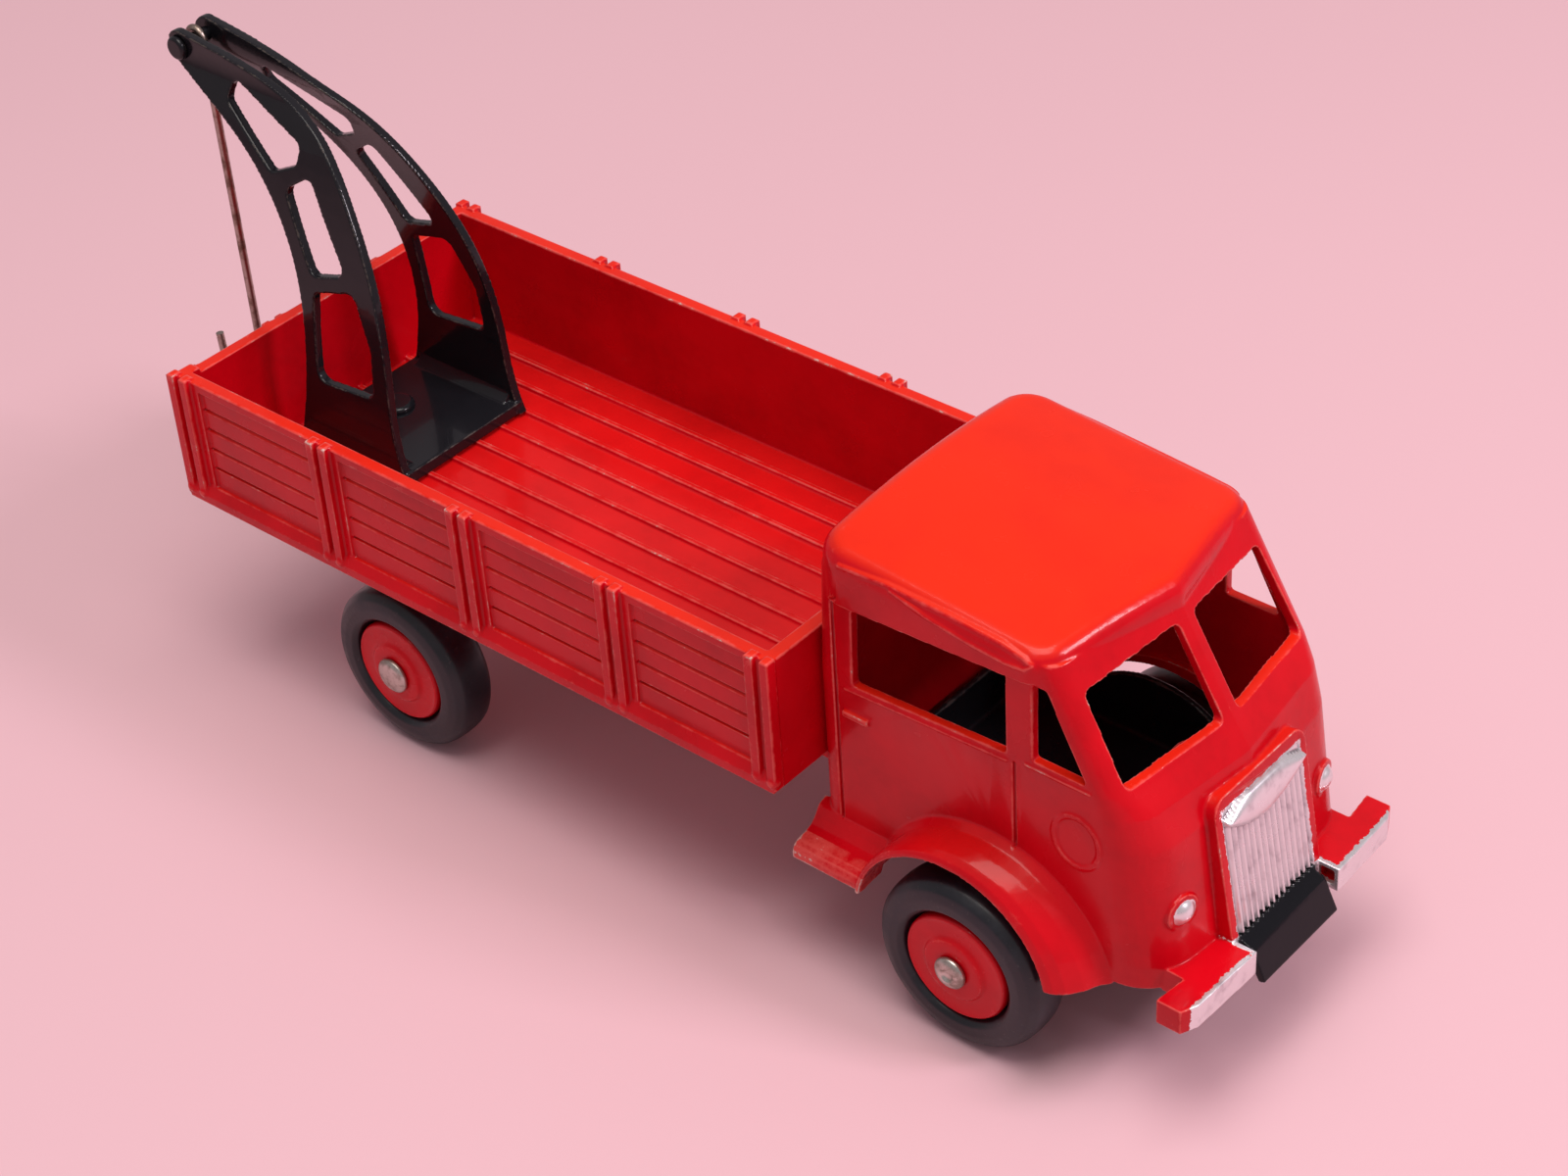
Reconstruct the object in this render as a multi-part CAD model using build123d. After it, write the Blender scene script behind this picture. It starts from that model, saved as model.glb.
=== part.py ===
from build123d import *
import os

os.makedirs("parts", exist_ok=True)

# Toy tow truck, about 1:55, all sizes in millimetres.
# Drawn with x = 0 at the rear face of the bed, +X towards the nose, +Y to the
# left of the truck and z = 0 on the ground; every piece is moved at the end so
# that x = 0 is the middle of the overall length.
LENGTH_MIDDLE = 46.29

# Bed
BED_LENGTH = 71.8
BED_HALF_WIDTH = 18.6
BED_BOTTOM = 18.7
BED_RIM = 31.9
BED_WALL = 1.3
TAIL_RIM = 31.4
FLOOR_TOP = 19.9
POST_CENTRES = (1.1, 19.6, 37.0, 54.3, 70.7)
POST_RIB = 0.9
POST_GAP = 0.7
POST_STAND = 0.6
POST_TIP = 0.25
TAIL_POST_CENTRES = (-16.9, -6.2, 6.2, 16.9)
TAIL_STAND = 0.45
PLANK_GROOVES = (22.6, 24.75, 26.9, 29.05)
GROOVE_HALF_WIDTH = 0.16
GROOVE_DEPTH = 0.3
PANEL_BOTTOM = 20.5
PANEL_TOP = 31.0
PANEL_DEPTH = 0.35
PILLAR_WIDTH = 0.9
FLOOR_RIDGES = 10
FLOOR_RIDGE_HALF_WIDTH = 0.3
FLOOR_RIDGE_PITCH = 3.2
FLOOR_RIDGE_HEIGHT = 0.35

# Cast pegs under the bed, spread below the chassis cross-members
BED_PEGS = ((40.9, 0.0), (58.9, 0.0))
BED_PEG_HOLE = 1.0
BED_PEG_HEAD = 1.7
MEMBER_BOTTOM = 15.4

# Cab
CAB_REAR = 71.8
CAB_BOTTOM = 10.7
CAB_HALF_WIDTH = 13.6
CAB_WALL = 0.9
BELT = 28.9
ROOF_HALF_WIDTH = 14.0
ROOF_CROWN = 95.0
ROOF_EDGE_RADIUS = 1.8

# Nose
GRILLE_WIDTH = 10.7
GRILLE_BARS = 14
GRILLE_BAR_PITCH = 0.73
HEADLAMP = (104.75, -9.8, 17.7)
PLATE_BAR_HALF_WIDTH = 5.3
SIDE_OVAL = (98.0, 23.6)
SIDE_OVAL_RADII = (2.15, 2.45)
BEAD_WIDTH = 0.4
BEAD_HEIGHT = 0.18

# Running gear
REAR_AXLE_X = 24.54
FRONT_AXLE_X = 89.03
AXLE_Z = 8.25
AXLE_RADIUS = 0.8
TYRE_RADIUS = 8.25
TYRE_OUTER = 18.2
TYRE_INNER = 13.2
HUB_RADIUS = 5.06
HUB_FACE = 18.3
HUB_SEAT = 4.5
RUNNING_CLEARANCE = 0.05
FIXED_CLEARANCE = 0.02

# Wheel arch and mudguard
LIP_CENTRE = (88.2, 8.7)
LIP_RADIUS = 9.55
LIP_OUTER = 17.6
TIP_HEIGHT = 10.4

# Crane
WEB_FOOT_Y = 7.85
WEB_THICKNESS = 0.9
CRANE_BASE_TOP = 21.5
COVE_SIZE = 2.0
JIB_PIN = (-12.2, 54.3)
JIB_PIN_RADIUS = 0.6
CRANE_RIVET_X = 8.4
CRANE_RIVET_HOLE = 1.0

# Tinplate base under the cab
PLATE_BOTTOM = 11.3
PLATE_THICKNESS = 0.6
PLATE_HALF_WIDTH = 11.6
FLANGE_OUTER = 11.9
FLANGE_RADIUS = 9.7
PLATE_HOLE_RADIUS = 0.8
REAR_UPSTAND_X = 73.6
REAR_UPSTAND_HALF_WIDTH = 11.0
REAR_UPSTAND_TOP = 16.3
PEG_POSITIONS = ((99.5, 0.0), (68.5, 0.0))


def block(x0, x1, y0, y1, z0, z1):
    """Box given by its limits."""
    middle = ((x0 + x1) / 2, (y0 + y1) / 2, (z0 + z1) / 2)
    return Pos(*middle) * Box(x1 - x0, y1 - y0, z1 - z0)


def both_sides(shape):
    """The shape together with its mirror image across the truck's centre plane."""
    return shape + mirror(shape, Plane.XZ)


def rod_across(x, z, radius, y0, y1):
    """Round bar lying across the truck from y0 to y1."""
    bar = Cylinder(radius, y1 - y0, align=(Align.CENTER, Align.CENTER, Align.MIN))
    return Pos(x, y0, z) * Rot(-90, 0, 0) * bar


def upright(x, y, radius, z0, z1):
    """Round bar standing up from z0 to z1."""
    bar = Cylinder(radius, z1 - z0, align=(Align.CENTER, Align.CENTER, Align.MIN))
    return Pos(x, y, z0) * bar


def side_cut(outline, y0, y1):
    """Outline given in (x, z), made solid from y0 to y1."""
    face = make_face(Polyline(*[(x, y0, z) for x, z in outline], close=True))
    return extrude(face, amount=y1 - y0, dir=(0, 1, 0))


def rounded_side_cut(outline, radius, y0, y1):
    """Like side_cut, with every corner of the outline rounded."""
    flat = make_face(Polyline(*outline, close=True))
    flat = fillet(flat.vertices(), radius)
    face = Plane(origin=(0, y0, 0), x_dir=(1, 0, 0), z_dir=(0, -1, 0)) * flat
    return extrude(face, amount=y1 - y0, dir=(0, 1, 0))


def ring_profile(points, x, z, y_sign=1):
    """Solid of revolution about an axle; points are (distance out, radius)."""
    face = make_face(Polyline(*[(x, y_sign * y, z + r) for y, r in points], close=True))
    return revolve(face, Axis((x, 0, z), (0, 1, 0)), 360)


def plan_section(z, corner_x, centre_x, half_width, front_radius, rear_x, rear_radius):
    """Horizontal outline of the cab: flat back, straight sides, pointed front."""
    outline = Polyline(
        (rear_x, -half_width),
        (corner_x, -half_width),
        (centre_x, 0),
        (corner_x, half_width),
        (rear_x, half_width),
        close=True,
    )
    face = make_face(outline)
    front = [v for v in face.vertices() if abs(v.X - corner_x) < 1e-6]
    face = fillet(front, front_radius)
    back = [v for v in face.vertices() if abs(v.X - rear_x) < 1e-6]
    face = fillet(back, rear_radius)
    return Pos(0, 0, z) * face


# ---------------------------------------------------------------- bed

def bed_panels():
    """Sunken panels between the posts, each split into five planks by grooves."""
    cuts = Part()
    panel_face = -BED_HALF_WIDTH + PANEL_DEPTH
    post_half_width = POST_RIB + POST_GAP / 2
    for left, right in zip(POST_CENTRES[:-1], POST_CENTRES[1:]):
        x0 = left + post_half_width + PILLAR_WIDTH
        x1 = right - post_half_width
        cuts += block(x0, x1, -BED_HALF_WIDTH - 1, panel_face, PANEL_BOTTOM, PANEL_TOP)
        for z in PLANK_GROOVES:
            cuts += block(
                x0, x1, -BED_HALF_WIDTH - 1, panel_face + GROOVE_DEPTH,
                z - GROOVE_HALF_WIDTH, z + GROOVE_HALF_WIDTH,
            )
    return both_sides(cuts)


def bed_posts():
    """Double ribs up the sides, each pair standing on the bottom ledge."""
    posts = Part()
    for centre in POST_CENTRES:
        for side in (-1, 1):
            x = centre + side * (POST_RIB + POST_GAP) / 2
            posts += block(
                x - POST_RIB / 2, x + POST_RIB / 2,
                -BED_HALF_WIDTH - POST_STAND, -BED_HALF_WIDTH + 0.5,
                BED_BOTTOM + 0.3, BED_RIM + POST_TIP,
            )
            posts += Pos(x, -BED_HALF_WIDTH - 0.25, 19.7) * Sphere(0.6)
    return both_sides(posts)


def bed_ledge():
    """Rail along the foot of the sides and tail, sloping off on top."""
    section = [
        (-BED_HALF_WIDTH + 0.5, BED_BOTTOM),
        (-BED_HALF_WIDTH - 0.6, BED_BOTTOM),
        (-BED_HALF_WIDTH - 0.6, BED_BOTTOM + 0.9),
        (-BED_HALF_WIDTH, BED_BOTTOM + 1.8),
        (-BED_HALF_WIDTH + 0.5, BED_BOTTOM + 1.8),
    ]
    face = make_face(Polyline(*[(0, y, z) for y, z in section], close=True))
    return both_sides(extrude(face, amount=BED_LENGTH, dir=(1, 0, 0)))


def tail_ribs():
    """Double ribs up the tail wall."""
    ribs = Part()
    for centre in TAIL_POST_CENTRES:
        for side in (-1, 1):
            y = centre + side * (POST_RIB + POST_GAP) / 2
            ribs += block(
                -TAIL_STAND, 0.5, y - POST_RIB / 2, y + POST_RIB / 2,
                BED_BOTTOM + 0.3, TAIL_RIM - 0.15,
            )
    return ribs


def tail_panels():
    """Sunken panels and plank grooves of the tail wall."""
    cuts = Part()
    for left, right in zip(TAIL_POST_CENTRES[:-1], TAIL_POST_CENTRES[1:]):
        y0 = left + POST_RIB + POST_GAP
        y1 = right - POST_RIB - POST_GAP
        cuts += block(-1, PANEL_DEPTH, y0, y1, PANEL_BOTTOM, PANEL_TOP - 0.5)
        for z in PLANK_GROOVES:
            cuts += block(
                -1, PANEL_DEPTH + GROOVE_DEPTH, y0, y1,
                z - GROOVE_HALF_WIDTH, z + GROOVE_HALF_WIDTH,
            )
    return cuts


def floor_ridges():
    """Narrow ridges along the floor, one at each joint between floor planks."""
    ridges = Part()
    for ridge in range(FLOOR_RIDGES):
        y = (ridge - (FLOOR_RIDGES - 1) / 2) * FLOOR_RIDGE_PITCH
        ridges += block(
            BED_WALL - 0.2, BED_LENGTH - BED_WALL + 0.2,
            y - FLOOR_RIDGE_HALF_WIDTH, y + FLOOR_RIDGE_HALF_WIDTH,
            FLOOR_TOP - 0.3, FLOOR_TOP + FLOOR_RIDGE_HEIGHT,
        )
    return ridges


def make_bed():
    """Open load bed: floor with plank lines, four walls, posts and ledge."""
    bed = block(0, BED_LENGTH, -BED_HALF_WIDTH, BED_HALF_WIDTH, BED_BOTTOM, BED_RIM)
    inside = block(
        BED_WALL, BED_LENGTH - BED_WALL,
        -BED_HALF_WIDTH + BED_WALL, BED_HALF_WIDTH - BED_WALL,
        FLOOR_TOP, BED_RIM + 1,
    )
    bed -= inside
    bed -= block(-1, BED_WALL, -BED_HALF_WIDTH + 2.2, BED_HALF_WIDTH - 2.2, TAIL_RIM, BED_RIM + 1)
    bed -= bed_panels()
    bed -= tail_panels()
    bed += floor_ridges()
    bed += bed_posts() + bed_ledge() + tail_ribs()
    bed -= upright(CRANE_RIVET_X, 0, CRANE_RIVET_HOLE, BED_BOTTOM - 1, FLOOR_TOP + 2)
    for x, y in BED_PEGS:
        bed += upright(x, y, BED_PEG_HOLE - FIXED_CLEARANCE, MEMBER_BOTTOM - 0.2, BED_BOTTOM + 0.3)
        bed += upright(x, y, BED_PEG_HEAD, MEMBER_BOTTOM - 0.6, MEMBER_BOTTOM)
    return bed


# ---------------------------------------------------------------- cab casting

def nose_body(inset):
    """Lower cab and nose, from the sill to the bottom of the windows."""
    rows = (
        (CAB_BOTTOM, 105.5, 106.8, 4.5),
        (13.0, 105.7, 107.1, 4.5),
        (24.0, 104.3, 105.5, 4.5),
        (27.0, 103.0, 104.7, 3.6),
        (BELT, 101.6, 103.4, 2.4),
    )
    faces = []
    for z, corner, centre, radius in rows:
        faces.append(plan_section(
            z, corner - inset, centre - inset, CAB_HALF_WIDTH - inset,
            radius - inset * 0.6, CAB_REAR + inset, 1.9 - inset * 0.6,
        ))
    return loft(faces, ruled=True)


def window_band(inset):
    """Upper cab between the window sills and the roof, leaning back in front."""
    low = plan_section(
        BELT, 101.6 - inset, 103.4 - inset, CAB_HALF_WIDTH - inset,
        2.4 - inset * 0.6, CAB_REAR + inset, 1.9 - inset * 0.6,
    )
    high = plan_section(
        39.0, 95.6 - inset, 97.5 - inset, CAB_HALF_WIDTH - 0.1 - inset,
        2.0 - inset * 0.6, CAB_REAR + 0.5 + inset, 1.9 - inset * 0.6,
    )
    return loft([low, high], ruled=True)


def crowned_block(drop):
    """Tall block whose top is the gently domed, forward-sloping roof surface."""
    rise = Plane(origin=(84.0, 0, 41.6 - drop), x_dir=(1, 0, -0.085), z_dir=(0.085, 0, 1))
    arch = Pos(0, 0, -ROOF_CROWN) * Rot(0, 90, 0) * Cylinder(ROOF_CROWN, 60)
    return rise * arch


def make_roof():
    """Roof cap with a pointed front edge, overhanging the windows slightly."""
    plan = plan_section(36.2, 95.4, 98.1, ROOF_HALF_WIDTH, 3.0, CAB_REAR + 0.4, 3.2)
    cap = extrude(plan, amount=9, dir=(0, 0, 1))
    cap &= crowned_block(0)
    under = Plane(origin=(71, 0, 36.15), x_dir=(1, 0, 0.045), z_dir=(-0.045, 0, 1))
    cap -= under * Pos(20, 0, -5) * Box(80, 40, 10)
    top_edges = [e for e in cap.edges() if e.center().Z > 38.6 and e.length > 3]
    return fillet(top_edges, ROOF_EDGE_RADIUS)


def cab_shell():
    """Hollow cab with its roof, open underneath."""
    outer = nose_body(0) + window_band(0) + make_roof()
    inner = nose_body(CAB_WALL) + window_band(CAB_WALL)
    inner += Pos(0, 0, -2.0) * nose_body(CAB_WALL)
    inner &= crowned_block(1.6)
    return outer - inner


def window_openings():
    """Door windows, quarter windows and the two halves of the windscreen."""
    door = [(75.9, 28.3), (91.25, 29.0), (91.25, 36.8), (76.1, 36.0)]
    quarter = [(93.8, 29.5), (98.9, 29.5), (95.1, 36.9), (93.8, 36.9)]
    cuts = rounded_side_cut(door, 0.4, -20, 20)
    cuts += rounded_side_cut(quarter, 0.25, -20, 20)
    pane = [(1.0, 29.5), (12.0, 29.3), (11.6, 36.6), (1.0, 37.2)]
    flat = make_face(Polyline(*pane, close=True))
    flat = fillet(flat.vertices(), 0.6)
    face = Plane(origin=(93.5, 0, 0), x_dir=(0, 1, 0), z_dir=(1, 0, 0)) * flat
    cuts += both_sides(extrude(face, amount=15, dir=(1, 0, 0)))
    return cuts


def guard_stack(rows):
    """Solid through round sections across the truck; a row is (y, radius, x, z)."""
    faces = []
    for y, radius, x, z in rows:
        plane = Plane(origin=(x, y, z), x_dir=(1, 0, 0), z_dir=(0, -1, 0))
        faces.append(plane * Circle(radius))
    return loft(faces, ruled=True)


def mudguard():
    """Right-hand front mudguard, still solid inside."""
    guard = guard_stack((
        (-12.2, 12.0, 89.7, 8.4),
        (-13.6, 11.9, 89.7, 8.4),
        (-14.4, 11.35, 89.6, 8.4),
        (-15.6, 11.1, 89.3, 8.5),
        (-16.8, 10.7, 88.8, 8.6),
        (-17.4, 10.25, 88.4, 8.7),
        (-LIP_OUTER, 9.9, 88.2, 8.7),
    ))
    return guard - block(70, 110, -19, -12, -5, TIP_HEIGHT)


def running_board():
    """Right-hand step: concave slope from the cab, flat tread, rolled lip."""
    section = [
        (-12.6, 14.0), (-13.6, 13.6), (-14.1, 12.8), (-14.7, 12.2), (-15.4, 11.95),
        (-16.4, 11.85), (-16.95, 11.55), (-17.2, 11.0), (-17.2, 10.3), (-16.5, 10.3),
        (-16.4, 10.7), (-15.2, 10.8), (-13.9, 11.3), (-12.6, 11.8),
    ]
    face = make_face(Polyline(*[(71.4, y, z) for y, z in section], close=True))
    return extrude(face, amount=9.0, dir=(1, 0, 0))


def wheel_well():
    """Space for the front wheel, wider inside the mudguard and open through the cab side."""
    well = rod_across(*LIP_CENTRE, LIP_RADIUS, -19, -12.0)
    hollow = guard_stack((
        (-12.0, 10.9, 88.9, 8.4),
        (-13.6, 10.9, 88.9, 8.4),
        (-14.4, 10.4, 88.9, 8.4),
        (-15.6, 10.15, 88.7, 8.5),
        (-16.6, LIP_RADIUS, 88.2, 8.7),
    ))
    well += hollow - block(70, 110, -19, -11, -5, TIP_HEIGHT)
    well += block(LIP_CENTRE[0] - 9.0, LIP_CENTRE[0] + 9.0, -19, -12.0, -2, LIP_CENTRE[1] - 0.5)
    return well


def bumper_half():
    """Right-hand half of the bumper with a pocket in its inner end."""
    outline = [
        (105.0, -5.9), (109.84, -5.9), (109.6, -13.6), (108.9, -15.1),
        (106.6, -15.1), (106.95, -11.9), (105.0, -11.9),
    ]
    face = make_face(Polyline(*[(x, y, 10.5) for x, y in outline], close=True))
    half = extrude(face, amount=2.4, dir=(0, 0, 1))
    half -= block(107.9, 109.35, -7.2, -5.0, 11.0, 12.5)
    return half


def plate_bar():
    """Blank number-plate bar bridging the bumper halves, its foot leaning forward."""
    outline = [
        (106.0, 12.6), (107.9, 12.5), (108.9, 12.15), (109.15, 11.7),
        (110.3, 9.25), (109.7, 9.0), (108.6, 11.1), (106.0, 11.3),
    ]
    return side_cut(outline, -PLATE_BAR_HALF_WIDTH, PLATE_BAR_HALF_WIDTH)


def grille_plane():
    """Working plane on the leaning front of the nose, origin low in the middle."""
    return Plane(origin=(107.35, 0, 12.7), x_dir=(0, 1, 0), z_dir=(0.985, 0, 0.165))


def grille():
    """Raised surround, sunken field, upright bars and the deep top bar."""
    plane = grille_plane()
    surround = Pos(0, 6.3) * RectangleRounded(12.6, 14.2, 1.6)
    field = Pos(0, 6.0) * RectangleRounded(GRILLE_WIDTH, 12.4, 0.8)
    frame = extrude(plane * surround, amount=0.45) + extrude(plane * surround, amount=-1.3)
    frame -= extrude(plane * field, amount=2)
    bars = Part()
    for bar in range(GRILLE_BARS):
        across = (bar - (GRILLE_BARS - 1) / 2) * GRILLE_BAR_PITCH
        shape = Pos(across, 5.6) * Rectangle(0.4, 11.4)
        bars += extrude(plane * shape, amount=0.4)
    bars += extrude(plane * field, amount=0.1) + extrude(plane * field, amount=-0.6)
    tip = (GRILLE_WIDTH / 2 - 0.2, 10.9)
    far_tip = (-tip[0], tip[1])
    crescent = make_face([
        ThreePointArc(far_tip, (0, 8.8), tip),
        ThreePointArc(tip, (0, 12.3), far_tip),
    ])
    bars += extrude(plane * crescent, amount=1.0)
    return frame + bars


def headlamp():
    """Right-hand headlamp: a rim with a domed lens."""
    tilt = Pos(*HEADLAMP) * Rot(0, 0, -12) * Rot(0, 90, 0)
    rim = Cylinder(1.6, 1.7)
    lens = Pos(0, 0, 0.1) * Sphere(1.35)
    return tilt * (rim + lens)


def door_details():
    """Door handles; the shut lines are cut separately."""
    handle = Pos(76.3, -CAB_HALF_WIDTH, 25.4) * Box(2.6, 0.9, 0.55)
    return both_sides(handle)


def side_oval():
    """Raised oval bead on the right-hand side of the cab, ahead of the door."""
    x, z = SIDE_OVAL
    across, up = SIDE_OVAL_RADII
    half = BEAD_WIDTH / 2
    ring = Ellipse(across + half, up + half) - Ellipse(across - half, up - half)
    plane = Plane(origin=(x, -CAB_HALF_WIDTH + 0.3, z), x_dir=(1, 0, 0), z_dir=(0, -1, 0))
    return extrude(plane * ring, amount=0.3 + BEAD_HEIGHT)


def shut_lines():
    """Fine grooves round the doors."""
    lines = block(91.9, 92.15, -14.2, -CAB_HALF_WIDTH + 0.2, 19.8, 28.6)
    lines += block(74.0, 74.25, -14.2, -CAB_HALF_WIDTH + 0.2, 13.6, 36.0)
    return both_sides(lines)


def chassis():
    """Two rails under the bed with cross-members and rear axle brackets."""
    rail = block(6.0, CAB_REAR + 1.0, -8.6, -6.4, 13.6, BED_BOTTOM)
    bracket = block(REAR_AXLE_X - 3.2, REAR_AXLE_X + 3.2, -8.6, -6.4, 6.4, 14.0)
    frame = both_sides(rail + bracket)
    for x in (12.6, 39.2, 57.2, 66.8):
        frame += block(x, x + 3.4, -8.0, 8.0, MEMBER_BOTTOM, BED_BOTTOM)
    frame -= rod_across(REAR_AXLE_X, AXLE_Z, AXLE_RADIUS + FIXED_CLEARANCE, -10, 10)
    for x, y in BED_PEGS:
        frame -= upright(x, y, BED_PEG_HOLE, 10, 20)
    return frame


def pegs():
    """Cast posts that the tinplate base is riveted to."""
    front_x, front_y = PEG_POSITIONS[0]
    rear_x, rear_y = PEG_POSITIONS[1]
    top = PLATE_BOTTOM + PLATE_THICKNESS
    posts = upright(front_x, front_y, 1.8, top, 24.0)
    posts += block(front_x, 105.0, -0.6, 0.6, top + 1.5, 22.0)
    posts += upright(rear_x, rear_y, 1.8, top, 16.0)
    for x, y in PEG_POSITIONS:
        posts -= upright(x, y, PLATE_HOLE_RADIUS, 8, top + 3.0)
    return posts


def make_cab():
    """Cab, mudguards, steps, nose, bumper and chassis in one casting."""
    cab = cab_shell()
    cab += both_sides(mudguard())
    cab += both_sides(running_board())
    well = wheel_well()
    cab -= well
    cab -= mirror(well, Plane.XZ)
    cab -= window_openings()
    cab -= shut_lines()
    cab += door_details()
    cab += grille()
    cab += both_sides(headlamp())
    cab += both_sides(side_oval())
    cab += both_sides(bumper_half())
    cab += plate_bar()
    cab -= block(CAB_REAR - 1, CAB_REAR + 2.5, -6.2, 6.2, 9, PLATE_BOTTOM + PLATE_THICKNESS + 0.3)
    cab += chassis()
    cab += pegs()
    return cab


# ---------------------------------------------------------------- base plate

def plate_flange():
    """Right-hand folded edge: a half disc inside the wheel arch and an ear for the axle."""
    inner = FLANGE_OUTER - PLATE_THICKNESS
    arch = rod_across(*LIP_CENTRE, FLANGE_RADIUS, -FLANGE_OUTER, -inner)
    arch -= block(70, 110, -15, -5, -5, PLATE_BOTTOM)
    ear = block(FRONT_AXLE_X - 3.0, FRONT_AXLE_X + 3.0, -FLANGE_OUTER, -inner, 6.4, PLATE_BOTTOM)
    return arch + ear


def make_base_plate():
    """Folded tinplate floor of the cab with two ears that carry the front axle."""
    top = PLATE_BOTTOM + PLATE_THICKNESS
    plate = block(65.0, 102.3, -PLATE_HALF_WIDTH, PLATE_HALF_WIDTH, PLATE_BOTTOM, top)
    plate -= both_sides(block(64.0, 73.4, -12, -5.9, 10, 13))
    nose = [v for v in plate.edges().filter_by(Axis.Z) if v.center().X > 100]
    plate = fillet(nose, 3.4)
    plate += both_sides(plate_flange())
    plate += block(
        REAR_UPSTAND_X, REAR_UPSTAND_X + PLATE_THICKNESS,
        -REAR_UPSTAND_HALF_WIDTH, REAR_UPSTAND_HALF_WIDTH, PLATE_BOTTOM, REAR_UPSTAND_TOP,
    )
    plate -= rod_across(FRONT_AXLE_X, AXLE_Z, AXLE_RADIUS + FIXED_CLEARANCE, -15, 15)
    for x, y in PEG_POSITIONS:
        plate -= upright(x, y, PLATE_HOLE_RADIUS, 8, 14)
    return plate


def make_plate_rivets():
    """Rivets that close the tinplate base on to the cast posts."""
    top = PLATE_BOTTOM + PLATE_THICKNESS
    rivets = []
    for x, y in PEG_POSITIONS:
        shank = upright(x, y, PLATE_HOLE_RADIUS - FIXED_CLEARANCE, PLATE_BOTTOM - 0.3, top + 2.9)
        head = Pos(x, y, PLATE_BOTTOM) * Cylinder(
            1.6, 0.5, align=(Align.CENTER, Align.CENTER, Align.MAX))
        head = fillet(head.edges().sort_by(Axis.Z)[0], 0.3)
        rivets.append(shank + head)
    return Compound(children=[r.solids()[0] for r in rivets])


# ---------------------------------------------------------------- crane rivet

def domed_rivet(x, y, head_z, foot_z, shank_radius, head_radius):
    """Rivet with a domed head on top and a flat peened end underneath."""
    shank = upright(x, y, shank_radius, foot_z - 0.2, head_z + 0.2)
    head = Pos(x, y, head_z) * Cylinder(
        head_radius, 0.55, align=(Align.CENTER, Align.CENTER, Align.MIN))
    head = fillet(head.edges().sort_by(Axis.Z)[-1], 0.45)
    foot = upright(x, y, head_radius - 0.2, foot_z - 0.5, foot_z)
    return (shank + head + foot).solids()[0]


def make_crane_rivet():
    """Single rivet through the middle of the crane's foot and the bed floor."""
    return domed_rivet(CRANE_RIVET_X, 0, CRANE_BASE_TOP, BED_BOTTOM,
                       CRANE_RIVET_HOLE - FIXED_CLEARANCE, 1.7)


# ---------------------------------------------------------------- crane

def web_bend():
    """Right-hand web as a sheet of even thickness, leaning in towards the top."""
    bend = (
        (-WEB_FOOT_Y, 20.25), (-WEB_FOOT_Y, 22.0), (-7.65, 28.5), (-6.6, 37.5), (-4.4, 47.0),
        (-2.5, 52.2), (-2.12, 53.2), (-2.05, 54.5), (-2.0, 57.5),
    )
    outer = Spline(*[(-20, y, z) for y, z in bend])
    inner = Pos(0, WEB_THICKNESS, 0) * outer
    top = Line(outer @ 1, inner @ 1)
    foot = Line(inner @ 0, outer @ 0)
    return extrude(make_face([outer, top, inner, foot]), amount=45, dir=(1, 0, 0))


def web_outline():
    """Side view of one web: broad foot, curved horn, rounded tip round the pin."""
    front = (
        (17.9, 20.25), (16.9, 23.5), (16.5, 29.5), (14.7, 39.8), (11.4, 45.9),
        (7.3, 50.5), (2.3, 53.1), (-5.2, 55.0), (-12.0, 55.9),
    )
    rear = (
        (-12.9, 52.95), (-8.3, 50.8), (-3.0, 48.0), (1.7, 43.9), (4.6, 38.8),
        (5.6, 32.2), (4.8, 25.5), (3.3, 20.25),
    )
    front_curve = Spline(*front)
    rear_curve = Spline(*rear)
    tip = ThreePointArc(front[-1], (-13.75, 54.5), rear[0])
    foot = Line(rear[-1], front[0])
    return make_face([front_curve, tip, rear_curve, foot])


def web_windows():
    """The three openings of a web, largest at the bottom."""
    low = [(7.0, 27.9), (14.5, 28.6), (14.5, 33.5), (12.4, 38.5), (7.2, 37.0)]
    middle = [(7.0, 38.5), (11.4, 39.8), (6.2, 47.5), (3.2, 45.6)]
    upper = [(-5.5, 51.2), (-5.0, 53.3), (4.6, 49.9), (4.3, 48.0), (1.2, 46.6)]
    cuts = Part()
    for outline, radius in ((low, 1.1), (middle, 0.9), (upper, 0.8)):
        cuts += rounded_side_cut(outline, radius, -20, 20)
    return cuts


def foot_cove():
    """Concave fillet along the inside of the right-hand web's foot."""
    web_side = (4.6, -WEB_FOOT_Y + 0.5, CRANE_BASE_TOP - 0.2)
    corner = Vector(*web_side)
    up = corner + Vector(0, 0, COVE_SIZE)
    inward = corner + Vector(0, COVE_SIZE, 0)
    hollow = corner + Vector(0, COVE_SIZE * 0.36, COVE_SIZE * 0.36)
    face = make_face([Line(corner, up), ThreePointArc(up, hollow, inward), Line(inward, corner)])
    return extrude(face, amount=12.0, dir=(1, 0, 0))


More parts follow.
